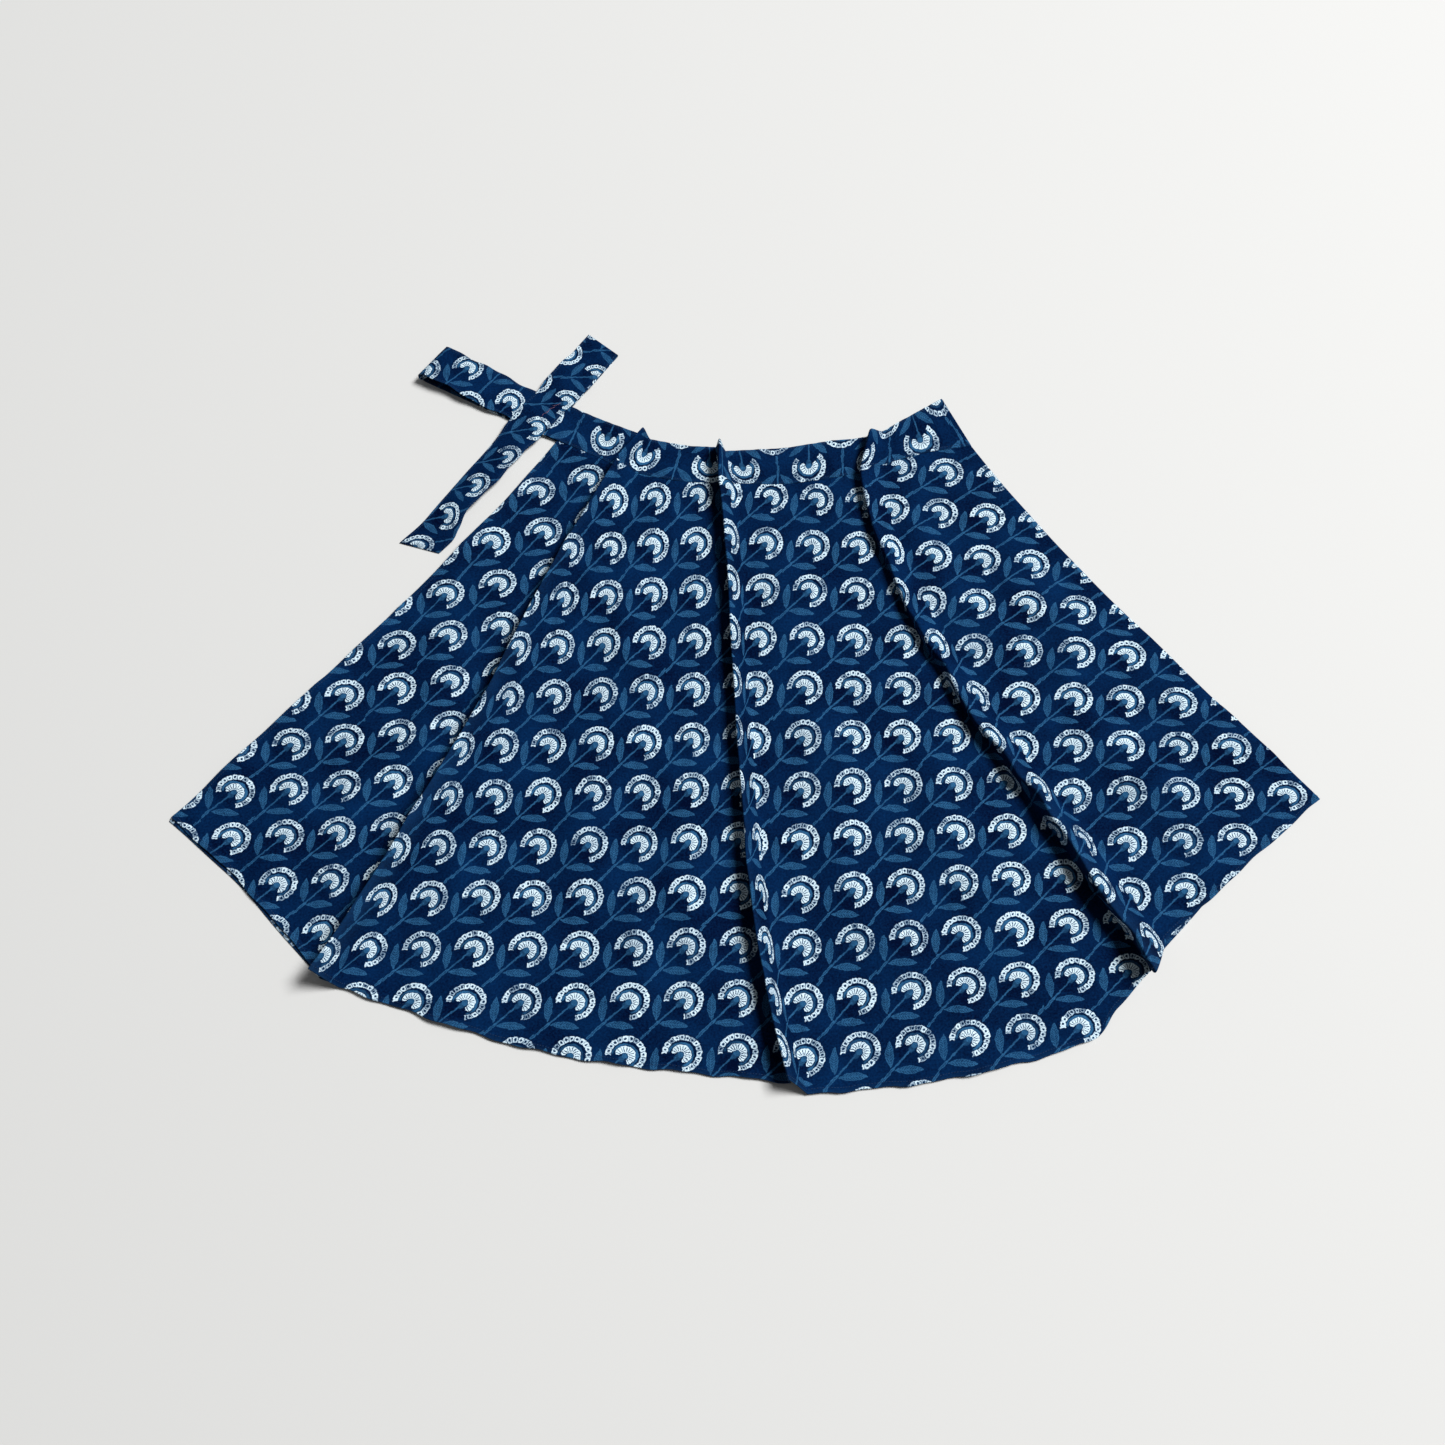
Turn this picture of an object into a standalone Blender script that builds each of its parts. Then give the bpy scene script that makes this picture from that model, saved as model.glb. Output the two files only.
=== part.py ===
"""A flared wrap skirt of printed cotton, folded in half and laid flat, with its two ties at the left.

Metres, +Z up. The skirt lies on z = 0 with its waist towards +Y. Its origin is the middle of its box, on
the surface. The upper half carries three standing folds from the waistband to the hem, the lower half is
flat. Every piece is one wall of cloth, and neighbours are a seam's gap apart.
"""
import math

import bpy
from mathutils import Vector

MM = 0.001

# The plan is drawn in millimetres. This point of it is the middle of the laid skirt.
MIDDLE = Vector((24.8, 40.4))

# Cloth and seams, in mm
PANEL_WALL = 1.5
BAND_WALL = 1.8
TIE_WALL = 1.4
TIE_WIDTH = 45.0
SEAM_GAP = 0.3
BAND_SEAM_GAP = 0.5  # the folds cross this seam at a slant
TIE_LAYER = TIE_WALL + SEAM_GAP

# Lines down the skirt, left to right: where each leaves the waist seam, where it meets the hem, how far
# it bows to the right high up and low down, where it meets the band's top edge, and how far the lower half
# reaches past the upper half's hem on it
RAYS = {
    # name                seam          hem           bows        band top     reach
    "left edge": ((-194, 344), (-600, -110), (86, 32), (-187, 392), 5),
    "left middle": ((-158, 329), (-522, -178), (32, 12), (-143, 372), 6),
    "left fold from": ((-122, 311), (-425, -281), (-19, 75), (-99, 354), 4),
    "left fold to": ((-101, 303), (-404, -294), (-19, 75), (-84, 346), -2),
    "second middle": ((-52, 293), (-183, -361), (-70, -26), (-42, 338), -4),
    "centre fold from": ((-3, 290), (70, -392), (0, -115), (-9, 336), -4),
    "centre fold to": ((19, 290), (91, -404), (0, -115), (7, 331), -14),
    "third middle": ((72, 289), (236, -388), (-140, -52), (72, 335), -6),
    "corner": ((128, 297), (376, -352), (-205, -76), (125, 344), -4),
    "corner cut": ((144, 300), (416, -315), (-227, -84), (147, 346), -4),
    "right fold from": ((160, 304), (454, -275), (-238, -72), (168, 349), -4),
    "right fold to": ((184, 313), (472, -243), (-228, -68), (189, 357), -4),
    "right middle": ((238, 329), (556, -170), (-162, -60), (225, 379), -4),
    "right edge": ((291, 338), (653, -88), (-81, -30), (259, 399), -2),
}

# Flat stretches of the upper half between the folds: their lines, and the columns of faces each gets
STRETCHES = (
    (("left edge", "left middle", "left fold from"), 6),
    (("left fold to", "second middle", "centre fold from"), 8),
    (("centre fold to", "third middle", "corner", "corner cut", "right fold from"), 10),
    (("right fold to", "right middle", "right edge"), 6),
)

# Height of each standing fold, and how far its crest leans over its left foot, at four places down it.
# The heights come from the cloth that each fold takes in, which the print beside it shows.
FOLDS = {
    # name     height: band top, seam, halfway, hem   lean at the same places
    "left": ((22, 23, 33, 40), (-8, 1, -2, 3)),
    "centre": ((27, 25, 25, 28), (-7, 3, 3, 3)),
    "right": ((21, 18, 24, 34), (-6, 4, 5, 5)),
}
FOLD_COLUMNS = 14
PANEL_ROWS = 24
BACK_ROWS = 10
# The lower half starts this share of the way down, clear of the back tie
BACK_START = 0.004
BACK_COLUMNS = 30
BAND_ROWS = 3

# Middle heights of the walls over the surface
BACK_HEIGHT = PANEL_WALL / 2
FRONT_HEIGHT = PANEL_WALL + SEAM_GAP + PANEL_WALL / 2
BAND_BACK_HEIGHT = BAND_WALL / 2
BAND_FRONT_HEIGHT = BAND_WALL + SEAM_GAP + BAND_WALL / 2
BAND_END = ((-208, 351), (-187, 392))
# The front band rises over the back tie near its end, and is level again over the last stretch
BAND_END_LIFT = 1.4
BAND_LIFT_FROM = -38.0
BAND_LIFT_TO = -12.0

# The ties leave the band's end along OUT. ACROSS is the ties' width there, towards the top of the plan.
BAND_END_MIDDLE = Vector((-197.5, 371.5))
OUT = Vector((-0.896, 0.444)).normalized()
ACROSS = Vector((0.444, 0.896)).normalized()
BACK_TIE_START = -51.0

# The front tie: a run out to a rounded loop, and a run back below it. Lengths are from the band's end.
LOOP_TOP = 17.4
LOOP_REACH = 155.0
LOOP_SKEW = 5.5
LEVEL_RUN = 46.0
RETURN_END = 41.0
OUT_STEPS = 14
LOOP_STEPS = 10
RETURN_STEPS = 9

# The back tie goes up to the right from its fold below the crossing, along UP
DIAGONAL = Vector((-201.0, 395.5))
UP = Vector((0.612, 0.791)).normalized()
UP_ACROSS = Vector((0.791, -0.612)).normalized()
UP_REACH = 94.0
UP_LEVEL = 28.0
UP_DESCENT = 24.0
START_STEPS = 5
FOLD_STEPS = 6
UP_STEPS = 9
# Its top run, from past the flat fold to the end of the tail, which lies a little rolled
TAIL = (
    # left x, y   right x, y   middle height   right edge over left edge
    (-175, 466, -139, 438, 2.7, 0),
    (-189, 448, -153, 420, 4.6, 0),
    (-204, 429, -168, 401, 6.3, 0),
    (-219, 409, -183, 382, 6.4, 0),
    (-235, 389, -199, 365, 6.8, 0),
    (-250, 367, -214, 348, 7.0, 1),
    (-265, 347, -229, 330, 5.6, 3),
    (-280, 327, -245, 311, 4.6, 5),
    (-296, 307, -264, 288, 5.4, 7),
    (-311, 287, -284, 264, 6.5, 9),
    (-323, 271, -296, 246, 6.0, 7),
    (-334, 256, -303, 233, 4.2, 4),
    (-348, 238, -310, 219, 2.4, 1),
    (-371, 216, -325, 203, 0.9, 0),
)
TIE_COLUMNS = 4


def cloth_material(name, colour):
    """Matt printed cotton in one plain colour."""
    material = bpy.data.materials.new(name)
    material.use_nodes = True
    shader = material.node_tree.nodes["Principled BSDF"]
    shader.inputs["Base Color"].default_value = (*colour, 1.0)
    shader.inputs["Roughness"].default_value = 0.85
    shader.inputs["Metallic"].default_value = 0.0
    material.diffuse_color = (*colour, 1.0)
    return material


def smooth(value):
    """0 to 1 with level ends."""
    value = min(max(value, 0.0), 1.0)
    return value * value * (3.0 - 2.0 * value)


def along(points, share):
    """A point on the smooth curve through the points, at a share of its way."""
    place = share * (len(points) - 1)
    first = min(int(place), len(points) - 2)
    t = place - first
    p1, p2 = points[first], points[first + 1]
    p0 = points[first - 1] if first > 0 else 2 * p1 - p2
    p3 = points[first + 2] if first + 2 < len(points) else 2 * p2 - p1
    return 0.5 * (
        2 * p1
        + (p2 - p0) * t
        + (2 * p0 - 5 * p1 + 4 * p2 - p3) * t**2
        + (3 * p1 - p0 - 3 * p2 + p3) * t**3
    )


def wall(name, grid, thickness, colour):
    """One closed wall of cloth, from rows of points on its middle surface, in mm on the plan."""
    rows, columns = len(grid), len(grid[0])

    def normal(r, c):
        down = grid[min(r + 1, rows - 1)][c] - grid[max(r - 1, 0)][c]
        right = grid[r][min(c + 1, columns - 1)] - grid[r][max(c - 1, 0)]
        return right.cross(-down).normalized()

    shift = Vector((MIDDLE.x, MIDDLE.y, 0.0))
    points = []
    for side in (0.5, -0.5):
        for r in range(rows):
            for c in range(columns):
                point = grid[r][c] + normal(r, c) * thickness * side - shift
                points.append(point * MM)

    def index(side, r, c):
        return side * rows * columns + r * columns + c

    faces = []
    for r in range(rows - 1):
        for c in range(columns - 1):
            upper = [index(0, r, c), index(0, r + 1, c), index(0, r + 1, c + 1), index(0, r, c + 1)]
            faces.append(upper)
            faces.append([rows * columns + i for i in reversed(upper)])
    rim = [(0, c) for c in range(columns)]
    rim += [(r, columns - 1) for r in range(1, rows)]
    rim += [(rows - 1, c) for c in reversed(range(columns - 1))]
    rim += [(r, 0) for r in reversed(range(1, rows - 1))]
    for i, here in enumerate(rim):
        there = rim[(i + 1) % len(rim)]
        faces.append([index(0, *here), index(0, *there), index(1, *there), index(1, *here)])

    mesh = bpy.data.meshes.new(name)
    mesh.from_pydata(points, [], faces)
    mesh.validate()
    mesh.shade_smooth()
    mesh.set_sharp_from_angle(angle=math.radians(50))
    piece = bpy.data.objects.new(name, mesh)
    piece.data.materials.append(cloth_material(name, colour))
    bpy.context.scene.collection.objects.link(piece)
    return piece


def on_ray(name, share):
    """The plan point at a share of the way down a line, 0 at the seam and 1 at the hem."""
    seam, hem, (high, low) = RAYS[name][:3]
    point = Vector(seam).lerp(Vector(hem), share)
    point.x += share * (1 - share) * (high * (1 - share) + low * share)
    return point


def on_band(name, share):
    """The plan point at a share of the way up the band on a line, 0 at the seam and 1 at the top."""
    ends = BAND_END if name == "left edge" else (RAYS[name][0], RAYS[name][3])
    return Vector(ends[0]).lerp(Vector(ends[1]), share)


def fold_profile(start, end, height, lean):
    """Points across one standing fold, from its left foot to its right foot."""
    width = (end - start).length
    direction = (end - start) / width
    for step in range(1, FOLD_COLUMNS):
        share = step / FOLD_COLUMNS
        rise = math.sin(math.pi * share) ** 2
        place = start + direction * (width * share - (width / 2 + lean) * rise)
        yield Vector((place.x, place.y, height * rise))


def folded_row(on_line, folds, base):
    """A row across the upper half: its flat stretches and folds, on the lines that on_line places."""
    row = []
    for number, (names, columns) in enumerate(STRETCHES):
        places = [on_line(name) for name in names]
        for column in range(columns + 1):
            place = along(places, column / columns)
            row.append(Vector((place.x, place.y, 0.0)))
        if number < len(folds):
            fold, height, lean = folds[number]
            row += fold_profile(on_line(f"{fold} fold from"), on_line(f"{fold} fold to"), height, lean)
    return [point + Vector((0, 0, base(point))) for point in row]


def build_skirt_front(colour):
    grid = []
    for step in range(PANEL_ROWS + 1):
        share = step / PANEL_ROWS
        folds = [(fold, along(heights[1:], share), along(leans[1:], share))
                 for fold, (heights, leans) in FOLDS.items()]
        grid.append(folded_row(lambda name: on_ray(name, share), folds, lambda point: FRONT_HEIGHT))
    return wall("skirt_front", grid, PANEL_WALL, colour)


def build_skirt_back(colour):
    reach = {name: ray[4] / (Vector(ray[1]) - Vector(ray[0])).length for name, ray in RAYS.items()}
    grid = []
    for step in range(BACK_ROWS + 1):
        share = BACK_START + (1 - BACK_START) * step / BACK_ROWS
        places = [on_ray(name, share) + (on_ray(name, 1) - on_ray(name, 0)) * reach[name] * share
                  for name in RAYS]
        row = [along(places, column / BACK_COLUMNS) for column in range(BACK_COLUMNS + 1)]
        grid.append([Vector((p.x, p.y, BACK_HEIGHT)) for p in row])
    return wall("skirt_back", grid, PANEL_WALL, colour)


def band_rows():
    """Shares of the band's width for its rows, top edge first, clear of the seam below."""
    for step in range(BAND_ROWS + 1):
        yield 1 - (1 - BAND_SEAM_GAP / TIE_WIDTH) * step / BAND_ROWS


def build_waistband_front(colour):
    def base(point):
        reach = (Vector((point.x, point.y)) - BAND_END_MIDDLE).dot(OUT)
        share = (reach - BAND_LIFT_FROM) / (BAND_LIFT_TO - BAND_LIFT_FROM)
        return BAND_FRONT_HEIGHT + BAND_END_LIFT * smooth(share)

    grid = []
    for share in band_rows():
        folds = [(fold, heights[1] + (heights[0] - heights[1]) * share, leans[1] + (leans[0] - leans[1]) * share)
                 for fold, (heights, leans) in FOLDS.items()]
        grid.append(folded_row(lambda name: on_band(name, share), folds, base))
    return wall("waistband_front", grid, BAND_WALL, colour)


def build_waistband_back(colour):
    names = [name for name in RAYS if name not in ("left edge", "left middle")]
    start = BAND_END_MIDDLE + OUT * BACK_TIE_START
    grid = []
    for share in band_rows():
        places = [start + ACROSS * TIE_WIDTH * (share - 0.5)]
        places += [on_band(name, share) for name in names]
        row = [along(places, column / BACK_COLUMNS) for column in range(BACK_COLUMNS + 1)]
        grid.append([Vector((p.x, p.y, BAND_BACK_HEIGHT)) for p in row])
    return wall("waistband_back", grid, BAND_WALL, colour)


def ribbon(name, stations, colour):
    """A tie, from the two edge points of each station along it."""
    grid = []
    for one, other in stations:
        grid.append([one.lerp(other, column / TIE_COLUMNS) for column in range(TIE_COLUMNS + 1)])
    return wall(name, grid, TIE_WALL, colour)


def build_tie_front(colour):
    low = TIE_WALL / 2
    level = BAND_FRONT_HEIGHT + BAND_END_LIFT
    radius = (LOOP_TOP - low) / 2

    def station(reach, height, skew):
        edges = []
        for side in (0.5, -0.5):
            shift = -2 * side * LOOP_SKEW * skew
            place = BAND_END_MIDDLE + OUT * (reach + shift) + ACROSS * TIE_WIDTH * side
            edges.append(Vector((place.x, place.y, height)))
        return edges

    def skew_at(reach):
        return smooth((reach - LEVEL_RUN) / (LOOP_REACH - LEVEL_RUN))

    stations = []
    for step in range(OUT_STEPS):
        reach = SEAM_GAP + (LOOP_REACH - SEAM_GAP) * step / OUT_STEPS
        height = level + (LOOP_TOP - level) * skew_at(reach)
        stations.append(station(reach, height, skew_at(reach)))
    for step in range(LOOP_STEPS + 1):
        turn = math.pi * step / LOOP_STEPS
        reach = LOOP_REACH + radius * math.sin(turn)
        stations.append(station(reach, low + radius * (1 + math.cos(turn)), 1.0))
    for step in range(1, RETURN_STEPS + 1):
        reach = LOOP_REACH + (RETURN_END - LOOP_REACH) * step / RETURN_STEPS
        stations.append(station(reach, low, skew_at(reach)))
    return ribbon("tie_front", stations, colour)


def flat_fold(edges, outward, height):
    """Stations of a strap that turns over a crease, from height up to one layer higher."""
    radius = TIE_LAYER / 2
    stations = []
    for step in range(FOLD_STEPS + 1):
        turn = math.pi * (step / FOLD_STEPS - 0.5)
        shift = outward * radius * math.cos(turn)
        rise = height + radius * (1 + math.sin(turn))
        stations.append([Vector((e.x + shift.x, e.y + shift.y, rise)) for e in edges])
    return stations


def build_tie_back(colour):
    low = TIE_WALL / 2
    half = TIE_WIDTH / 2

    # The run below the band, and the crease where it turns up to the right
    start = BAND_END_MIDDLE + OUT * (BACK_TIE_START + SEAM_GAP)
    outward = (OUT - UP).normalized()
    crease = Vector((-outward.y, outward.x))
    meeting = DIAGONAL + UP * ((BAND_END_MIDDLE - DIAGONAL).cross(OUT) / UP.cross(OUT))
    crease_half = half / abs(OUT.dot(outward))
    if crease.dot(ACROSS) < 0:
        crease = -crease
    crease_edges = [meeting + crease * crease_half, meeting - crease * crease_half]
    start_edges = [start + ACROSS * half, start - ACROSS * half]
    stations = []
    for step in range(START_STEPS):
        stations.append([
            Vector((*one.lerp(other, step / START_STEPS), low))
            for one, other in zip(start_edges, crease_edges)
        ])
    stations += flat_fold(crease_edges, outward, low)

    # The run up to the right, which comes down to the surface past the band
    end = DIAGONAL + UP * UP_REACH
    end_edges = [end - UP_ACROSS * half, end + UP_ACROSS * half]
    for step in range(1, UP_STEPS):
        edges = []
        for one, other in zip(crease_edges, end_edges):
            place = one.lerp(other, step / UP_STEPS)
            down = smooth(((place - DIAGONAL).dot(UP) - UP_LEVEL) / UP_DESCENT)
            edges.append(Vector((place.x, place.y, low + TIE_LAYER * (1 - down))))
        stations.append(edges)
    stations += flat_fold(end_edges, UP, low)

    # The run back over everything, and the tail
    for left_x, left_y, right_x, right_y, height, tilt in TAIL:
        stations.append([
            Vector((left_x, left_y, height - tilt / 2)),
            Vector((right_x, right_y, height + tilt / 2)),
        ])
    return ribbon("tie_back", stations, colour)


def main():
    for old in list(bpy.data.objects):
        bpy.data.objects.remove(old, do_unlink=True)
    indigo = (0.010, 0.040, 0.125)
    band_indigo = (0.012, 0.046, 0.140)
    build_skirt_front(indigo)
    build_skirt_back(indigo)
    build_waistband_front(band_indigo)
    build_waistband_back(band_indigo)
    build_tie_front(band_indigo)
    build_tie_back(band_indigo)


main()
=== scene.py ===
"""A flared wrap skirt of indigo block printed cotton, folded in half and laid flat, ties at the left."""
from functools import partialmethod
import math

import bpy
import numpy as np
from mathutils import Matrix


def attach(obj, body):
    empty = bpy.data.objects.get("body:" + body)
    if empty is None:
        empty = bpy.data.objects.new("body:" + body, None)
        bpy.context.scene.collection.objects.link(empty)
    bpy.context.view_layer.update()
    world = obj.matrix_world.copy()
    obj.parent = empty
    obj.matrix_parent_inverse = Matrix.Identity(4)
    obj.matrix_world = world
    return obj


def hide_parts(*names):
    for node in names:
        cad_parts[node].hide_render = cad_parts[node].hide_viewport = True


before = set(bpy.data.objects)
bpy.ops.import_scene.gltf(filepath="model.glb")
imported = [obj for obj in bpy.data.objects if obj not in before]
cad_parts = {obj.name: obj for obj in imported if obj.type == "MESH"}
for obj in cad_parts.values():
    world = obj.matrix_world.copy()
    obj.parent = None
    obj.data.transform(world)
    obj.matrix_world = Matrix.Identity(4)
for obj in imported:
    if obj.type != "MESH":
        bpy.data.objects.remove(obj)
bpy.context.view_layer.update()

scene = bpy.context.scene

# Camera
# The skirt is seen from above and a little from the hem side, as it lies. Sizes in this script are in mm, on
# a plan whose zero is the middle of the picture. The laid skirt's own middle is at MIDDLE on it.
MM = 0.001
MIDDLE = (24.8, 40.4)
CAMERA_TILT = math.radians(17.0)
CAMERA_REACH = 1.784


def placed(name, data):
    """An object in the scene, round its mesh, lamp or camera."""
    thing = bpy.data.objects.new(name, data)
    scene.collection.objects.link(thing)
    return thing


camera_data = bpy.data.cameras.new("camera over the skirt")
camera_data.lens = 40.0
camera_data.sensor_width = 36.0
camera = placed("camera over the skirt", camera_data)
camera.location = (-MIDDLE[0] * MM, -MIDDLE[1] * MM - CAMERA_REACH * math.sin(CAMERA_TILT),
                   CAMERA_REACH * math.cos(CAMERA_TILT))
camera.rotation_euler = (CAMERA_TILT, 0.0, 0.0)
scene.camera = camera
scene.view_settings.view_transform = "Standard"

# Front panel
# The upper half of the skirt: one layer of thin indigo cotton, cut flared, block printed by hand with rows
# of open flowers. It is hemmed narrow with a row of running stitches, and lies in three standing folds that
# run from the waistband to the hem, with soft creases between them.
PANEL_CLOTH = 0.8
PANEL_LENGTH = 655.0
HEM_CLOTH = 1.5
HEM_WIDTH = 6.6
# Where the rows of points lie near a hem, from its edge, and which of them the stitches follow
HEM_STEPS = (0.0, 0.7, 2.0, 4.4, 6.2, 7.3, 9.0, 12.0)
HEM_ROW = 3
# The same for an edge that isn't sewn: no close rows beside it
EVEN = (0.0,)
FRONT_UNDERSIDE = 1.8
RAYS = {
    # name                seam          hem           bows        band top     reach of the lower half
    "left edge": ((-194, 344), (-600, -110), (86, 32), (-187, 392), 4),
    "left middle": ((-158, 329), (-522, -178), (32, 12), (-143, 372), 3),
    "left fold from": ((-122, 311), (-425, -281), (-19, 75), (-99, 354), 3),
    "left fold to": ((-101, 303), (-404, -294), (-19, 75), (-84, 346), -2),
    "second middle": ((-52, 293), (-183, -361), (-70, -26), (-42, 338), -4),
    "centre fold from": ((-3, 290), (70, -392), (0, -115), (-9, 336), -4),
    "centre fold to": ((14, 290), (88, -404), (-6, -118), (4, 331), -14),
    "third middle": ((72, 289), (236, -388), (-140, -52), (72, 335), -6),
    "corner": ((128, 297), (376, -352), (-205, -76), (125, 344), -4),
    "corner cut": ((144, 300), (416, -315), (-227, -84), (147, 346), -4),
    "right fold from": ((160, 304), (454, -275), (-238, -72), (168, 349), -4),
    "right fold to": ((184, 313), (472, -243), (-228, -68), (189, 357), -4),
    "right middle": ((238, 329), (556, -170), (-162, -60), (225, 379), -4),
    "right edge": ((291, 338), (653, -88), (-81, -30), (259, 399), -2),
}
STRETCHES = {
    # name: lines, columns
    "left": (("left edge", "left middle", "left fold from"), 44),
    "second": (("left fold to", "second middle", "centre fold from"), 84),
    "third": (("centre fold to", "third middle", "corner", "corner cut", "right fold from"), 72),
    "right": (("right fold to", "right middle", "right edge"), 42),
}
FOLDS = {
    # name     height at the band's top, then evenly from the seam to the hem; lean at the same places
    "left": ((22, 22, 31, 40), (-8, 1, 0, 4)),
    "centre": ((26, 24, 23, 28), (-6, 1, 1, 3)),
    "right": ((18, 15, 15, 20, 28, 34), (-5, -1, -1, -2, -5, 6)),
}
# Small kinks in the crests: share of the way down, length as a share, push to the left
FOLD_KINKS = {
    "left": ((0.18, 0.03, 1.2), (0.46, 0.04, -1.5), (0.72, 0.03, 1.6)),
    "centre": ((0.12, 0.02, 1.0), (0.37, 0.05, -1.2), (0.66, 0.03, 1.4), (0.84, 0.03, -1.2)),
    "right": ((0.20, 0.03, -2.4), (0.30, 0.02, 1.6), (0.425, 0.028, -5.0), (0.53, 0.02, 2.6),
              (0.60, 0.02, -3.0), (0.645, 0.012, 1.8), (0.685, 0.024, -4.0), (0.73, 0.012, 1.4),
              (0.85, 0.045, 3.8), (0.94, 0.022, -3.5)),
}
FOLD_COLUMNS = 24
FOLD_WAVE = 0.9
# How the print lies over a fold: 1 is evenly, and more leaves less of it on the shaded left side
CREST_IN_CLOTH = {"left": 1.0, "centre": 1.9, "right": 1.2}
# How the rows and columns of the print lie over each stretch between the folds. Each line is the middle of
# the stretch, then what gives the column and the row: 1, x, y, x times x, x times y, y times y.
CLOTH_LAY = {
    "left": ((-365, 20), (-4.045, 1.720, 0.083, 0.015, -0.050, 0.067),
             (4.300, 0.249, -1.891, 0.044, 0.043, -0.009)),
    "second": ((-130, -100), (1.255, 1.858, -0.090, 0.003, 0.052, 0.002),
               (7.276, 0.057, -1.757, 0.012, 0.018, 0.010)),
    "third": ((180, -90), (7.711, 1.792, -0.028, -0.009, 0.024, -0.019),
              (7.265, 0.077, -1.776, -0.004, -0.052, 0.001)),
    "right": ((410, 50), (12.307, 1.729, -0.171, 0.000, 0.022, -0.028),
              (4.518, -0.079, -1.881, -0.029, -0.102, -0.031)),
}
# Places in that table and in the mesh's own cloth lay are in units of this many mm
LAY_UNIT = 100.0
PRINT_COLUMN = 54.0
PRINT_ROW = 56.5
THREAD_PITCH = 0.5
WEAVE_DEPTH = 0.0006
# Share of the cloth's thickness that its cut edge stands out, and how much dye is rubbed off it there
EDGE_ROUND = 0.35
EDGE_WORN = 0.6
HEM_WORN = 0.8
HEM_WORN_REACH = 1.8
HEM_SCALLOP_REACH = 14.0
CALM_BELOW_SEAM = 60.0
# Soft ridges in each laid half: from x, y to x, y, half width, height
FRONT_CREASES = (
    (-240, 236, -420, 96, 26, 3.0), (-300, 180, -470, -20, 22, 2.2), (-248, 150, -330, -20, 24, 3.4),
    (-430, 40, -540, -60, 28, 3.2), (-372, -50, -404, -190, 22, 2.6), (-470, -80, -500, -170, 18, 2.0),
    (-60, 262, -110, 90, 20, 2.4), (-140, 210, -230, 60, 18, 2.0), (-80, 40, -150, -160, 30, 3.2),
    (-190, 30, -290, -190, 26, 2.8), (-230, -210, -290, -330, 24, 2.4), (-20, -60, -10, -290, 24, 2.6),
    (-90, -230, -110, -360, 18, 2.2), (40, 255, 50, 120, 16, 2.0), (92, 150, 132, -40, 34, 4.4),
    (120, -80, 190, -260, 30, 3.4), (230, -60, 300, -210, 26, 3.0), (60, -230, 66, -350, 16, 2.0),
    (230, -290, 256, -376, 16, 2.2), (300, -250, 350, -330, 16, 1.8), (220, 250, 330, 90, 22, 3.0),
    (330, 190, 470, 60, 26, 2.6), (390, 60, 470, -70, 24, 3.2), (480, 90, 600, -40, 24, 2.4),
    (470, -60, 530, -160, 20, 2.2), (312, -28, 360, -6, 8, 1.6), (352, -74, 398, -48, 8, 1.8),
    (408, -160, 450, -132, 9, 1.8), (250, 96, 300, 120, 9, 1.2), (-84, 232, -40, 206, 8, 1.2),
    (-140, 96, -96, 70, 9, 1.4), (-190, -40, -150, -66, 9, 1.3), (24, 60, 62, 40, 8, 1.1),
    (34, -120, 76, -146, 9, 1.3), (-30, -30, -60, -60, 9, 1.1), (-46, -200, -10, -240, 9, 1.2),
    (160, 196, 196, 150, 10, 1.3), (-330, 250, -300, 214, 9, 1.2), (-392, 150, -356, 120, 10, 1.3),
    (-476, 60, -444, 24, 10, 1.4), (500, 120, 548, 84, 12, 1.5), (560, 10, 610, -30, 12, 1.5),
)
BACK_CREASES = (
    (-260, 200, -380, 60, 16, 1.4), (-120, 180, -180, -60, 18, 1.8), (-320, -60, -380, -220, 20, 1.9),
    (20, 140, 40, -120, 17, 1.5), (150, 60, 230, -170, 22, 2.0), (-60, -190, -40, -330, 16, 1.4),
    (330, 150, 440, 20, 18, 1.7), (420, -60, 500, -150, 15, 1.3),
)
CREASE_SCALE = 1.45
# Creases bend sideways by this share of their length, the tall ones to the other side
CREASE_BEND = 0.12
TALL_CREASE = 2.3


def unit(vectors):
    """The same directions, each of length 1."""
    return vectors / np.maximum(np.linalg.norm(vectors, axis=-1, keepdims=True), 1e-9)


def run_of(points):
    """How far along its row each point is."""
    step = np.linalg.norm(np.diff(points, axis=-2), axis=-1)
    return np.concatenate([np.zeros_like(step[..., :1]), np.cumsum(step, axis=-1)], axis=-1)


def creases(points, table):
    """Height of the soft creases at each plan point."""
    x, y = points[..., 0], points[..., 1]
    height = np.zeros_like(x)
    for x0, y0, x1, y1, width, rise in table:
        way_x, way_y = x1 - x0, y1 - y0
        long = math.hypot(way_x, way_y)
        share = np.clip(((x - x0) * way_x + (y - y0) * way_y) / long**2, 0, 1)
        bend = CREASE_BEND * long * np.sin(np.pi * share) * (1 if rise > TALL_CREASE else -1)
        off_x, off_y = x - x0 - share * way_x, y - y0 - share * way_y
        across = (off_x * way_y - off_y * way_x) / long
        height += rise * np.exp(-(off_x**2 + off_y**2 - across**2 + (across - bend) ** 2) / width**2)
    return height


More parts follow.
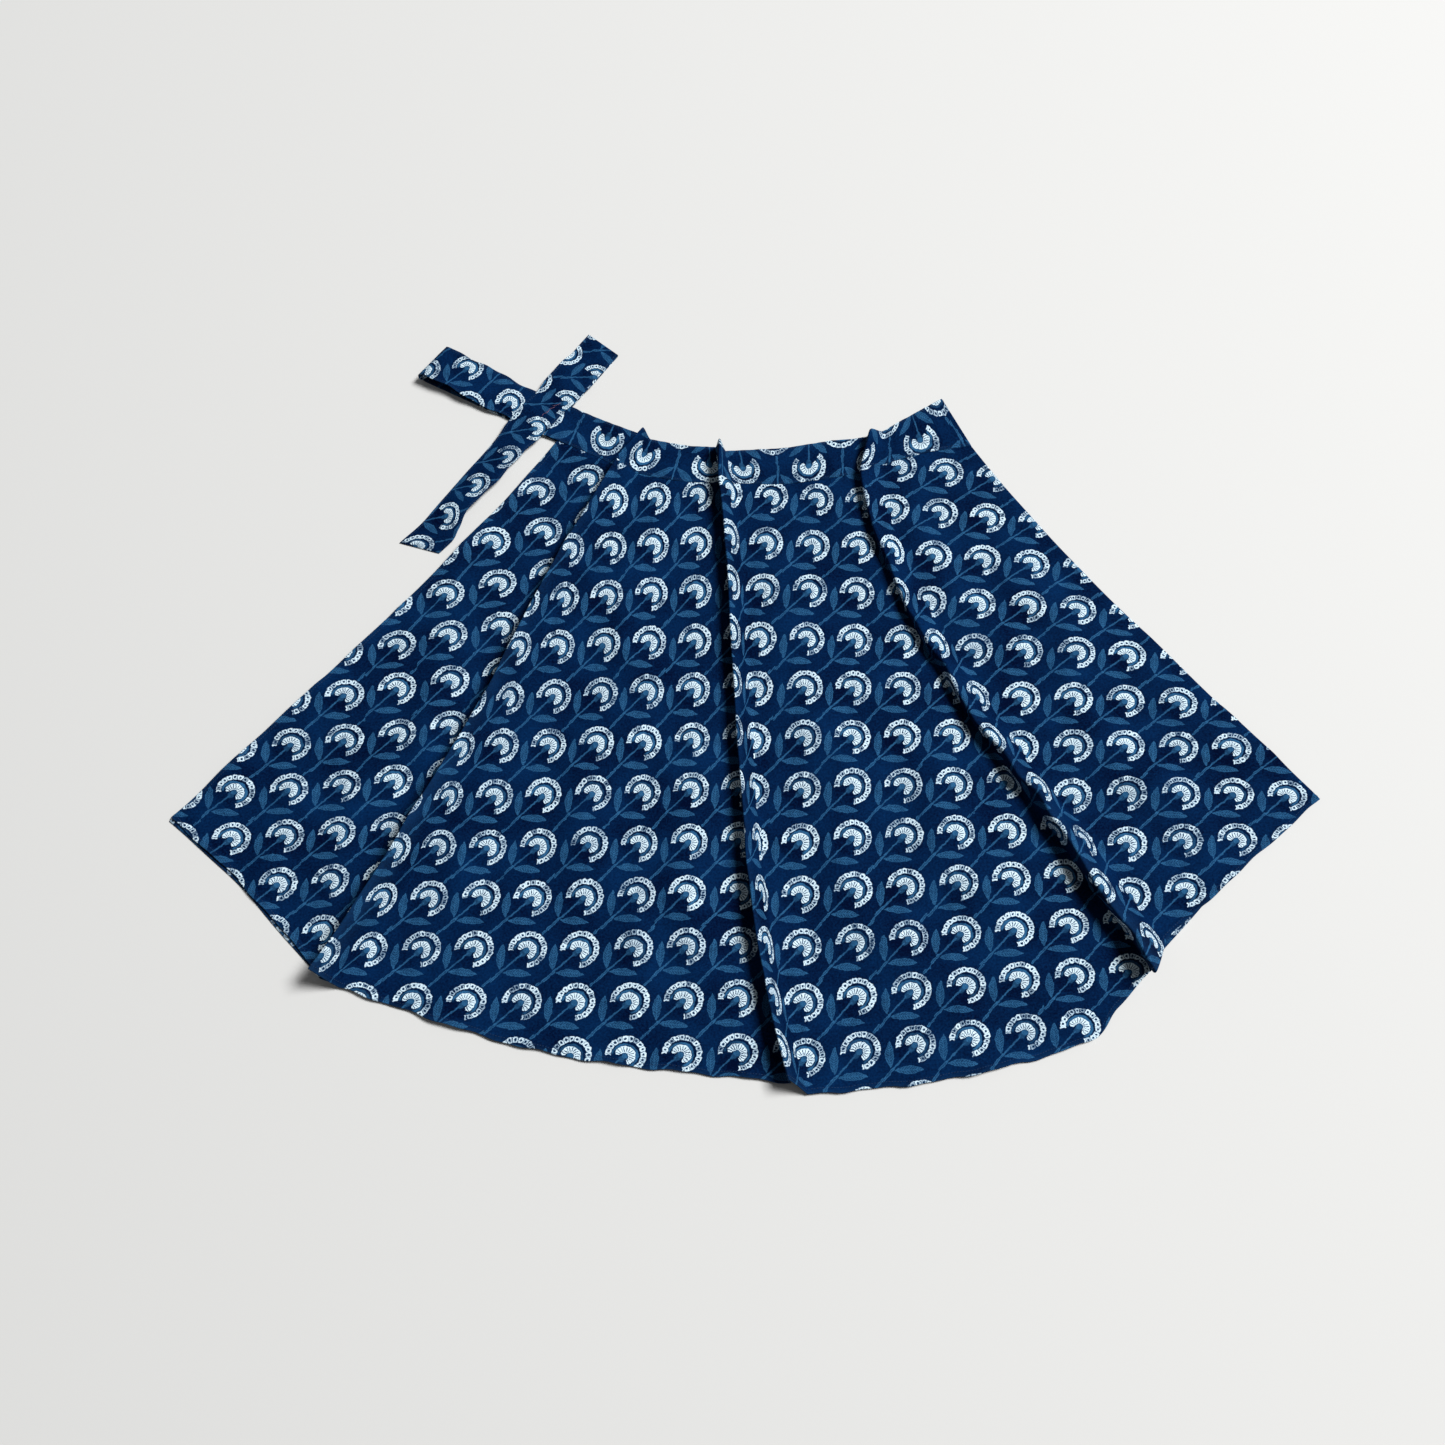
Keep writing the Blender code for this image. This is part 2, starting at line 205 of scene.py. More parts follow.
def curve_through(points, shares):
    """Points on the smooth curve through the given points, at shares of its way, for every row."""
    points = np.asarray(points, float)
    last = len(points) - 1
    place = shares * last
    first = np.clip(place.astype(int), 0, last - 1)
    t = (place - first)[..., None]
    row = np.arange(points.shape[1])
    one, two = points[first, row], points[first + 1, row]
    before = np.where((first > 0)[..., None], points[np.maximum(first - 1, 0), row], 2 * one - two)
    after = np.where((first + 2 <= last)[..., None], points[np.minimum(first + 2, last), row], 2 * two - one)
    return 0.5 * (2 * one + (two - before) * t + (2 * before - 5 * one + 4 * two - after) * t**2
                  + (3 * one - before - 3 * two + after) * t**3)


def level_at(levels, shares):
    """The value at shares of the way down a fold, from its values at a few places."""
    return curve_through(np.array(levels, float)[:, None, None], shares[:, None])[:, 0, 0]


def on_ray(name, share):
    """Plan points at shares of the way down a line, 0 at the seam and 1 at the hem."""
    seam, hem, (high, low) = RAYS[name][:3]
    x = seam[0] + (hem[0] - seam[0]) * share + share * (1 - share) * (high * (1 - share) + low * share)
    return np.stack([x, seam[1] + (hem[1] - seam[1]) * share], axis=-1)


def printed_place(stretch, points):
    """Where a plan point of a stretch is on the flat printed cloth, in mm of cloth."""
    middle, *lays = CLOTH_LAY[stretch]
    x, y = (points[..., 0] - middle[0]) / LAY_UNIT, (points[..., 1] - middle[1]) / LAY_UNIT
    terms = (np.ones_like(x), x, y, x * x, x * y, y * y)
    column, row = (sum(part * term for part, term in zip(lay, terms)) for lay in lays)
    return np.stack([column * PRINT_COLUMN, -row * PRINT_ROW], axis=-1)


def edge_shares(lengths, count, near_start=EVEN, near_end=EVEN):
    """Shares of the way across, with close steps at a sewn edge and even ones between."""
    lengths = np.asarray(lengths, float)
    start = np.array(near_start)[:, None] / lengths
    end = 1 - np.array(near_end)[::-1, None] / lengths
    middle = start[-1] + (end[0] - start[-1]) * np.linspace(0, 1, count + 1)[:, None]
    return np.concatenate([start[:-1], middle, end[1:]])


def across_lines(lines, columns, near_start=EVEN):
    """Rows of points on the plan, from the first of some lines to the last."""
    widths = np.linalg.norm(lines[-1] - lines[0], axis=1)
    return curve_through(lines, edge_shares(widths, columns, near_start)).transpose(1, 0, 2)


def fold_rows(start, end, height, lean, base, slim):
    """Rows across a standing fold: its points, and how far along its cloth each is."""
    width = np.linalg.norm(end - start, axis=1)[:, None, None]
    direction = (end - start)[:, None, :] / width
    share = np.linspace(0, 1, FOLD_COLUMNS + 1)[None, :, None]
    rise = (1 - np.abs(2 * share - 1) ** 1.8) ** slim
    place = start[:, None, :] + direction * (width * share - (width / 2 + lean[:, None, None]) * rise)
    points = np.concatenate([place, base + height[:, None, None] * rise], axis=2)
    run = run_of(points)
    return points[:, 1:-1], (run / run[:, -1:])[:, 1:-1, None]


def new_mesh(name, points, faces, materials):
    """A mesh of faces between points in metres."""
    mesh = bpy.data.meshes.new(name)
    mesh.from_pydata(points, [], faces)
    for material in materials:
        mesh.materials.append(material)
    return mesh


def cloth_shell(name, points, thickness, printed, material_list, worn_and_lit, inner=None):
    """A closed shell of cloth round rows of points on its middle surface, and its upper face's points."""
    rows, columns = points.shape[:2]
    down, right = np.gradient(points, axis=0), np.gradient(points, axis=1)
    points = points - (*MIDDLE, 0.0)
    half = 0.5 * thickness[..., None] * unit(np.cross(right, -down))
    top, under = points + half, points - half
    outward = np.zeros_like(points)
    outward[0] -= down[0]
    outward[-1] += down[-1]
    outward[:, 0] -= right[:, 0]
    outward[:, -1] += right[:, -1]
    number = np.arange(rows * columns).reshape(rows, columns)
    ring = np.concatenate([number[0], number[1:, -1], number[-1, -2::-1], number[-2:0:-1, 0]])
    edge = (points + unit(outward) * thickness[..., None] * EDGE_ROUND).reshape(-1, 3)[ring]
    upper = np.stack([number[:-1, :-1], number[1:, :-1], number[1:, 1:], number[:-1, 1:]], axis=-1)
    upper = upper.reshape(-1, 4)
    middle = np.arange(len(ring)) + 2 * number.size
    ring_next, middle_next = np.roll(ring, -1), np.roll(middle, -1)
    faces = np.concatenate([
        upper, upper[:, ::-1] + number.size, np.stack([ring, ring_next, middle_next, middle], axis=-1),
        np.stack([middle, middle_next, ring_next + number.size, ring + number.size], axis=-1)])
    vertices = np.concatenate([top.reshape(-1, 3), under.reshape(-1, 3), edge]) * MM
    mesh = new_mesh(name, vertices.tolist(), faces.tolist(), material_list)
    flat = printed.reshape(-1, 2)
    cloth = np.concatenate([flat, flat, flat[ring]]) / LAY_UNIT
    loop_vertices = np.empty(len(mesh.loops), dtype=np.int32)
    mesh.loops.foreach_get("vertex_index", loop_vertices)
    lay = mesh.uv_layers.new(name="cloth lay")
    lay.data.foreach_set("uv", cloth[loop_vertices].astype(np.float32).ravel())
    # Dye rubbed off at the cut edges and hem, together with the painted highlight on tall fold crests, goes
    # to the shader as one attribute
    wear_and_lit = worn_and_lit.ravel()
    wear_and_lit = np.concatenate([wear_and_lit, wear_and_lit, np.maximum(wear_and_lit[ring], EDGE_WORN)])
    mesh.attributes.new("rubbed_and_lit", "FLOAT", "POINT").data.foreach_set("value", wear_and_lit.astype(np.float32))
    if inner:
        first = 0 if inner == "top" else len(upper)
        face_slots = np.zeros(len(faces), dtype=np.int32)
        face_slots[first:first + len(upper)] = 1
        mesh.polygons.foreach_set("material_index", face_slots)
    mesh.shade_smooth()
    mesh.update()
    return placed(name, mesh), top


def cloth_area(points):
    """Area of the cloth in square metres, along its middle surface."""
    here, below, right, far = points[:-1, :-1], points[1:, :-1], points[:-1, 1:], points[1:, 1:]
    halves = (np.cross(below - here, right - here), np.cross(far - right, far - below))
    return 0.5 * sum(np.linalg.norm(half, axis=2).sum() for half in halves) * MM * MM


class Value:
    """A number or a place in a shader's node tree. Each sum written with it becomes a node."""

    def __init__(self, socket):
        self.socket = socket
        self.tree = socket.id_data

    def sum(self, kind, *others, clamp=False):
        values = dict(enumerate((self, *others)))
        return Value(add_node(self.tree, "ShaderNodeMath", values, operation=kind, use_clamp=clamp)[0])

    __add__ = partialmethod(sum, "ADD")
    __sub__ = partialmethod(sum, "SUBTRACT")
    __rsub__ = partialmethod(sum, "MULTIPLY_ADD", -1.0)
    __mul__ = partialmethod(sum, "MULTIPLY")
    __truediv__ = partialmethod(sum, "DIVIDE")
    __pow__ = partialmethod(sum, "POWER")
    __abs__ = partialmethod(sum, "ABSOLUTE")
    # The same value, kept between 0 and 1
    kept = partialmethod(sum, "ADD", 0.0, clamp=True)

    def parts(self):
        """The three parts of a place or a colour."""
        return [Value(part) for part in add_node(self.tree, "ShaderNodeSeparateXYZ", {0: self})]


def fill(node, values):
    """Links or sets a node's inputs, each by its name or number."""
    for label, value in values.items():
        value = value.socket if isinstance(value, Value) else value
        if isinstance(value, bpy.types.NodeSocket):
            node.id_data.links.new(value, node.inputs[label])
        else:
            node.inputs[label].default_value = value


def add_node(tree, kind, values=None, **settings):
    """A new node with its settings and its inputs. Gives its outputs."""
    node = tree.nodes.new(kind)
    for label, value in settings.items():
        setattr(node, label, value)
    fill(node, values or {})
    return node.outputs


def new_group(name, kind, inputs, outputs):
    """A node group with named inputs and outputs: its tree, what it is given, and its last node."""
    tree = bpy.data.node_groups.new(name, kind)
    for side, sockets in (("INPUT", inputs), ("OUTPUT", outputs)):
        for label, socket_kind, *value in sockets:
            socket = tree.interface.new_socket(label, in_out=side, socket_type="NodeSocket" + socket_kind)
            if value:
                socket.default_value = value[0]
    return tree, tree.nodes.new("NodeGroupInput").outputs, tree.nodes.new("NodeGroupOutput")


def noise(place, scale, detail=2.0, roughness=0.5):
    """Soft noise at a place: its value and its colour."""
    found = add_node(place.tree, "ShaderNodeTexNoise",
                     {"Vector": place, "Scale": scale, "Detail": detail, "Roughness": roughness})
    return Value(found["Fac"]), Value(found["Color"])


def together(x, y, z=0.0):
    """A place from its three numbers."""
    return Value(add_node(x.tree, "ShaderNodeCombineXYZ", {0: x, 1: y, 2: z})[0])


def chance(place):
    """A chance value and colour for a place."""
    found = add_node(place.tree, "ShaderNodeTexWhiteNoise", {"Vector": place})
    return Value(found["Value"]), Value(found["Color"])


def scaled(place, factor):
    """A place or a colour made larger or smaller."""
    values = {0: place, "Scale": factor}
    return Value(add_node(place.tree, "ShaderNodeVectorMath", values, operation="SCALE")[0])


def blend(share, one, two):
    """From one colour to another."""
    return Value(add_node(share.tree, "ShaderNodeMix", {0: share, 6: one, 7: two}, data_type="RGBA")[2])


def distance(x, y):
    """How far out a place is."""
    return (x * x + y * y).sum("SQRT")


def within(value, edge, blur=0.5):
    """1 where the value is under the edge, with a soft step of width blur."""
    return (edge - value).sum("MULTIPLY_ADD", 1.0 / blur, 0.5, clamp=True)


def any_of(first, *others):
    """The strongest of several masks."""
    for mask in others:
        first = first.sum("MAXIMUM", mask)
    return first


def along_stroke(x, y, start, end):
    """How far along a straight stroke a place is, how far beside it, and the stroke's length."""
    long = math.dist(start, end)
    way_x, way_y = (end[0] - start[0]) / long, (end[1] - start[1]) / long
    x, y = x - start[0], y - start[1]
    return x * way_x + y * way_y, y * way_x - x * way_y, long


def stroke(x, y, start, end):
    """Distance from a straight stroke."""
    run, side, long = along_stroke(x, y, start, end)
    return distance(run - (run / long).kept() * long, side)


# Sizes of the block's flower in mm, from the middle of its outer ring, and how far off the hand sets it
REPEAT_START = (33.2, 35.6)
REPEAT_SHIFT = -1.1
HAND_SHIFT = 1.3
HAND_TURN = 0.07
FLOWER_LEAN = math.radians(47.5)
RING_REACH = 17.1
RING_HALF_TURN = math.radians(134.0)
BEAD_STEP = math.radians(18.2)
BEAD_LONG = 5.3
BEAD_HALF_HIGH = 2.75
CRESCENT_REACH = 7.1
CRESCENT_HALF_WIDTH = 3.4
CRESCENT_HALF_TURN = 2.14
CRESCENT_TAPER = math.radians(124.0)
CRESCENT_OFF = 1.1
FINE_RAY_STEP = 0.335
ARC_REACH = 12.1
STALK = ((-5.5, -5.0), (-24.6, -23.4))
STEMS = (((-24.0, -22.6), (-39.5, -39.0)), ((22.0, -31.0), (14.5, -39.0)), ((19.6, 23.2), (14.2, 17.4)))
LEAVES = (
    # foot, tip, half width, bend
    ((-25.9, -22.4), (-25.0, 7.6), 4.6, 0.9),
    ((-24.0, -24.6), (7.0, -28.0), 4.4, 1.2),
)


def round_middle(x, y):
    """How far out a place is, how far round from the flower's open side, and how far ahead and aside."""
    ahead = x * math.cos(FLOWER_LEAN) + y * math.sin(FLOWER_LEAN)
    aside = y * math.cos(FLOWER_LEAN) - x * math.sin(FLOWER_LEAN)
    return distance(x, y), abs(aside.sum("ARCTAN2", ahead)), aside.sum("ARCTAN2", ahead), ahead, aside


def printed_leaf(x, y, foot, tip, half, bend):
    """A bent leaf with an outline, a vein and barbs."""
    run, side, long = along_stroke(x, y, foot, tip)
    share = (run / long).kept()
    arch = share * (1.0 - share)
    side = abs(side - arch * (4.0 * bend))
    room = arch * (4.0 * half) - side
    barbs = within(abs(((run - side) / 2.6).sum("FRACT") - 0.5), 0.24, 0.2)
    drawn = any_of(within(abs(room - 0.6), 0.45), within(side, 0.35), barbs * 0.85)
    return within(0.45, room, 0.6) * within(0.035, arch, 0.02) * (drawn * 0.68 + 0.26)


def block_print_group():
    """The hand block print: an open flower of two rings, with a stem and two leaves, in every repeat."""
    tree, given, end = new_group("block printed flower", "ShaderNodeTree", [("Cloth place", "Vector")],
                                 [("White", "Float"), ("Mid blue", "Float"), ("Near flower", "Float")])
    place = Value(given["Cloth place"])
    x, y, _ = place.parts()
    for scale, detail, push in ((0.24, 2.0, 3.0), (0.8, 1.0, 0.9)):
        wander_x, wander_y, _ = noise(place, scale, detail)[1].parts()
        x, y = x + (wander_x - 0.5) * push, y + (wander_y - 0.5) * push
    x, y = x + REPEAT_SHIFT, y + REPEAT_SHIFT

    # Place in the repeat, from the middle of the flower, with each repeat a little off and turned
    column = ((x + REPEAT_START[0]) / PRINT_COLUMN).sum("FLOOR")
    row = ((y + REPEAT_START[1]) / PRINT_ROW).sum("FLOOR")
    strength, hand = chance(together(column, row, 3.7))
    hand_x, hand_y, hand_turn = hand.parts()
    x = x - column * PRINT_COLUMN + (hand_x - 0.5) * HAND_SHIFT
    y = y - row * PRINT_ROW + (hand_y - 0.5) * HAND_SHIFT
    turn = (hand_turn - 0.5) * HAND_TURN
    x, y = x - turn * y, y + turn * x
    grain, patch, hasty = (noise(place, *kind)[0] for kind in ((0.9, 2.0), (0.11, 2.0), (0.006, 1.0)))

    # Outer ring of rounded beads, each with a dark dot, between two thin arcs
    reach, turned, turned_from, _, _ = round_middle(x, y)
    bead_place = turned_from / BEAD_STEP + 7.0
    bead = bead_place.sum("FLOOR")
    bead_side = (bead_place - bead - 0.5) * BEAD_LONG
    bead_out = reach - RING_REACH
    bead_luck, bead_hand = chance(together(column * 17.0 + bead, row, 1.3))
    bead_half = bead_hand.parts()[0] * 0.55 + 2.05
    beads = within(abs(bead_side / bead_half) ** 4.0 + abs(bead_out / BEAD_HALF_HIGH) ** 4.0, 1.0, 0.9)
    bead_dot = within(distance(bead_side, bead_out * 0.85), 1.2, 0.8)
    beads = beads * (bead_luck * 0.9 + 0.40).kept() * (1.0 - bead_dot * 0.92)
    thin_arcs = within(abs(abs(bead_out) - 2.2), 0.36) * (patch * 2.2 - 0.6).kept()
    ring = any_of(beads, thin_arcs) * within(turned, RING_HALF_TURN, 0.06)

    # Inner crescent with fine dark rays
    reach, turned, turned_from, ahead, aside = round_middle(x + CRESCENT_OFF, y + CRESCENT_OFF)
    taper = (1.0 - (turned / CRESCENT_TAPER) ** 6.0).sum("MAXIMUM", 0.0).sum("SQRT")
    crescent = within(abs(reach - CRESCENT_REACH), taper * CRESCENT_HALF_WIDTH, 0.6)
    crescent = crescent * within(turned, CRESCENT_HALF_TURN, 0.06)
    fine_ray = within(abs((turned_from / FINE_RAY_STEP).sum("FRACT") - 0.5) * reach, 1.2, 0.8)
    fine_ray = fine_ray * within(4.4, reach, 0.8) * within(reach, 9.7, 0.7)
    white = any_of(ring, crescent * (1.0 - fine_ray * 0.92)) * (grain * 3.2 - 0.66).sum("MINIMUM", 1.0)
    white = (white * (patch + strength * 0.25 + 0.12 + hasty * 0.55)).kept()

    # Mid blue: arc between the rings, heart, stem and leaves
    arc = within(abs(reach - ARC_REACH), patch * 2.4 - 0.1, 0.9) * within(turned, 2.1, 0.2)
    arc = arc * (strength * 0.9 + 0.30).kept()
    heart_end = within(distance((ahead + 3.6) / 4.6, aside / 3.0), 1.0, 0.3) * 0.45
    stem_off, *others = (stroke(x, y, *stem) for stem in STEMS)
    for other in others:
        stem_off = stem_off.sum("MINIMUM", other)
    blue = any_of(arc, within(reach, 3.2, 0.9) * 0.85, heart_end, within(abs(stem_off - 0.85), 0.42),
                  within(stem_off, 1.0) * 0.4, within(stroke(x, y, *STALK), 0.85, 0.6) * 0.8,
                  *(printed_leaf(x, y, *leaf) for leaf in LEAVES))
    blue = (blue * (patch * 1.3 + 0.22).kept() * (grain * 1.8 + 0.10)).kept()
    fill(end, {"White": white, "Mid blue": blue, "Near flower": within(distance(x, y), 21.0, 6.0)})
    return tree


# Colours of the dyed cotton, each from its darkest to its palest
INDIGO = ((0.0001, 0.0026, 0.0185, 1.0), (0.0012, 0.0205, 0.082, 1.0))
MID_BLUE = ((0.009, 0.060, 0.155, 1.0), (0.036, 0.148, 0.305, 1.0))
COTTON_WHITE = ((0.37, 0.58, 0.75, 1.0), (0.90, 1.0, 1.0, 1.0))
# The paler blue of dye rubbed off at edges, also used for the painted highlight on tall fold crests
RUBBED_AND_LIT_BLUE = (0.020, 0.075, 0.170, 1.0)


def indigo_group():
    """Colour of the dyed cotton: uneven indigo ground, paler where rubbed and on tall fold crests, where the
    paling is a painted highlight; mid blue; and the cloth's own white where resisted.
    """
    labels = ("White", "Mid blue", "Near flower", "Rubbed", "Weave", "Print strength")
    tree, given, end = new_group("indigo dyed cotton", "ShaderNodeTree",
                                 [("Cloth place", "Vector"), *((label, "Float") for label in labels)],
                                 [("Colour", "Color"), ("Roughness", "Float")])
    place = Value(given["Cloth place"])
    white, blue, near_flower, rubbed_and_lit, weave, strength = (Value(given[label]) for label in labels)
    cloud, _ = noise(place, 0.018, 3.0, 0.55)
    mottle, _ = noise(place, 0.42, 4.0, 0.65)
    depth = (cloud * 1.5 + mottle * 1.9 - near_flower * 0.22 - 1.25).kept()
    # The ground pales towards that blue where the cloth is rubbed, and on tall fold crests as a painted
    # highlight
    ground = blend(rubbed_and_lit * 0.22, blend(depth, *INDIGO), RUBBED_AND_LIT_BLUE)
    tinted = any_of(blue, (white * 1.8).kept())
    colour = blend(tinted * strength, ground, blend(mottle, *MID_BLUE))
    colour = blend((white * 1.4 - 0.24).kept() * strength, colour, blend(mottle, *COTTON_WHITE))
    colour = scaled(colour, weave * 0.30 + 0.85)
    fill(end, {"Colour": colour, "Roughness": white * 0.05 + mottle * 0.10 + 0.80})
    return tree


def weave_group():
    """Plain weave of uneven threads, and the small crinkles of washed cotton."""
    tree, given, end = new_group("plain cotton weave", "ShaderNodeTree", [("Cloth place", "Vector")],
                                 [("Height", "Float"), ("Shade", "Float")])
    place = Value(given["Cloth place"])
    x, y, _ = place.parts()
    across, down = ((part * (math.pi / THREAD_PITCH)).sum("SINE") for part in (x, y))
    weave = across * down * 0.5 + 0.5
    warp, weft = (noise(together(x * close, y * far), 1.0)[0] for close, far in ((1.6, 0.05), (0.05, 1.6)))
    threads = (warp + weft) * 0.5
    crinkle, _ = noise(place, 0.045, 3.0, 0.55)
    fill(end, {"Height": crinkle * 2.2 + weave * 0.10 + threads * 0.22, "Shade": weave * 0.3 + threads * 0.7})
    return tree


def blank_material(name):
    """A new material, its node tree and its shader."""
    material = bpy.data.materials.new(name)
    material.use_nodes = True
    return material, material.node_tree, material.node_tree.nodes["Principled BSDF"]


block_print = block_print_group()
indigo_dye = indigo_group()
cotton_weave = weave_group()


def printed_cotton(name, print_strength=1.0, bump=0.6):
    """Matt printed cotton that follows the cloth's own lay."""
    material, tree, shader = blank_material(name)
    place = scaled(Value(add_node(tree, "ShaderNodeUVMap", uv_map="cloth lay")[0]), LAY_UNIT)
    # Rubbed dye and the painted highlight on fold crests, read from the mesh
    rubbed_and_lit = add_node(tree, "ShaderNodeAttribute", attribute_name="rubbed_and_lit")["Fac"]
    marks = add_node(tree, "ShaderNodeGroup", {"Cloth place": place}, node_tree=block_print)
    weave = add_node(tree, "ShaderNodeGroup", {"Cloth place": place}, node_tree=cotton_weave)
    dye = {"Cloth place": place, "Rubbed": rubbed_and_lit, "Weave": weave["Shade"], "Print strength": print_strength}
    dye.update({label: marks[label] for label in ("White", "Mid blue", "Near flower")})
    dyed = add_node(tree, "ShaderNodeGroup", dye, node_tree=indigo_dye)
    threads = {"Strength": bump, "Distance": WEAVE_DEPTH, "Height": weave["Height"]}
    threads = add_node(tree, "ShaderNodeBump", threads)
    fill(shader, {"Base Color": dyed["Colour"], "Roughness": dyed["Roughness"], "Normal": threads["Normal"],
                  "Specular IOR Level": 0.02})
    return material


panel_cotton = printed_cotton("printed panel cotton")
panel_cotton_inside = printed_cotton("inside of the panel cotton", print_strength=0.45)


def folded_panel(rows, on_line, folds, base, hemmed_left, slim=1.5):
    """Points and printed places across the upper half, for all its rows."""
    parts, prints = [], []
    names = list(STRETCHES)
    for number, (lines, columns) in enumerate(STRETCHES.values()):
        near_start = HEM_STEPS if number == 0 and hemmed_left else EVEN
        flat = across_lines([on_line(line, rows) for line in lines], columns, near_start)
        parts.append(np.dstack([flat, np.full(flat.shape[:2], base)]))
        prints.append(printed_place(names[number], flat))
        if number < len(folds):
            fold, height, lean = folds[number]
            ends = [on_line(f"{fold} fold {end}", rows) for end in ("from", "to")]
            points, run = fold_rows(*ends, height, lean, base, slim)
            one, two = (printed_place(names[number + side], ends[side])[:, None] for side in (0, 1))
            parts.append(points)
            prints.append(one + run ** CREST_IN_CLOTH[fold] * (two - one))
    return np.concatenate(parts, axis=1), np.concatenate(prints, axis=1)


def hem_reach(rows, points):
    """How far each point is from the nearer of the hem and the hemmed left edge."""
    from_edge = np.linalg.norm(points[..., :2] - points[:, :1, :2], axis=2)
    return np.minimum((1 - rows)[:, None] * PANEL_LENGTH, from_edge)


def hem_cloth(reach):
    """Thickness of the cloth, which is doubled within the hem."""
    return PANEL_CLOTH + (HEM_CLOTH - PANEL_CLOTH) * np.clip((HEM_WIDTH + 0.6 - reach) / 0.9, 0, 1)


panel_rows = edge_shares([PANEL_LENGTH], 128, near_end=HEM_STEPS)[:, 0]
front_folds = []
for fold, (heights, leans) in FOLDS.items():
    wave = len(fold) * 1.3
    height = level_at(heights[1:], panel_rows)
    height = height + FOLD_WAVE * np.sin(9 * panel_rows + wave) * np.sin(np.pi * panel_rows)
    lean = level_at(leans[1:], panel_rows) + FOLD_WAVE * np.sin(14 * panel_rows + 2 * wave)
    for place, length, push in FOLD_KINKS[fold]:
        lean = lean + push * np.exp(-((panel_rows - place) / length) ** 2)
    front_folds.append((fold, height, lean))
front_points, front_print = folded_panel(panel_rows, on_ray, front_folds, FRONT_UNDERSIDE, True)
front_hem = hem_reach(panel_rows, front_points)
front_cloth = hem_cloth(front_hem)
x, y = front_points[..., 0], front_points[..., 1]
from_seam = panel_rows[:, None] * PANEL_LENGTH
calm = np.clip(from_seam / CALM_BELOW_SEAM, 0.0, 1.0)
ripple = 0.55 * np.sin(x / 17.0 + y / 41.0) * np.sin(x / 31.0 - y / 23.0 + 1.0) + 0.55
hem_wave = 1.5 * (0.5 + 0.5 * np.sin(x / 13.0 + 1.2 * np.sin(y / 47.0))) * np.exp(-front_hem / 16.0)
laid = CREASE_SCALE * creases(front_points, FRONT_CREASES) + ripple + hem_wave
front_points[..., 2] += laid * calm + creases(front_points, BACK_CREASES) + 0.35 * np.exp(-from_seam / 8.0)
front_points[..., 2] += front_cloth / 2
seam_scallop = 1.1 * np.sin(x / 11.0 + 0.6 * np.sin(y / 19.0)) + 0.6 * np.sin(x / 5.3)
front_points[..., 1] += seam_scallop * np.exp((from_seam - PANEL_LENGTH) / HEM_SCALLOP_REACH)
# Tall fold crests are painted paler the higher they stand: a painted highlight
crest_highlight = np.clip((front_points[..., 2] - FRONT_UNDERSIDE) / 36.0 - 0.45, 0, 1)
skirt_front, front_top = cloth_shell(
    "panel_front", front_points, front_cloth, front_print, [panel_cotton, panel_cotton_inside],
    np.clip(crest_highlight + HEM_WORN * np.exp(-front_hem / HEM_WORN_REACH), 0, 1), inner="under")
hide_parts("skirt_front")
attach(skirt_front, "root")
front_area = cloth_area(front_points)

# Back panel
# The lower half of the skirt is the same cut and print, laid flat under the other with its right side down.
# It shows a few millimetres past the upper hem at the left, and only its creases lift off the surface.
BACK_START = 0.004
back_rows = BACK_START + (1 - BACK_START) * edge_shares([PANEL_LENGTH], 84, near_end=HEM_STEPS)[:, 0]
back_lines = []
for line, (seam, hem, _, _, longer) in RAYS.items():
    if not line.endswith("fold to"):
        along = unit(np.subtract(hem, seam))
        back_lines.append(on_ray(line, back_rows) + longer * along * back_rows[:, None])
back_parts = []
for lines, columns, near_start in ((back_lines[:3], 44, HEM_STEPS), (back_lines[2:], 146, EVEN)):
    part = across_lines(lines, columns, near_start)
    back_parts.append(part[:, 1:] if back_parts else part)
back_flat = np.concatenate(back_parts, axis=1)
back_hem = hem_reach(back_rows, back_flat)
back_cloth = hem_cloth(back_hem)
x, y = back_flat[..., 0], back_flat[..., 1]
back_points = np.dstack([back_flat, back_cloth / 2 + creases(back_flat, BACK_CREASES)])
hem_scallop = 0.7 * np.sin(x / 12.0 + 0.5)
back_points[..., 1] += hem_scallop * np.exp((back_rows[:, None] - 1) * PANEL_LENGTH / HEM_SCALLOP_REACH)
back_print = np.stack([x * 0.995 - y * 0.10 + 0.00012 * x * y, y * 0.995 + x * 0.10], axis=-1)
skirt_back, back_top = cloth_shell("panel_back", back_points, back_cloth, back_print,
                                   [panel_cotton, panel_cotton_inside],
                                   HEM_WORN * np.exp(-back_hem / HEM_WORN_REACH), inner="top")
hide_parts("skirt_back")
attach(skirt_back, "root")
back_area = cloth_area(back_points)

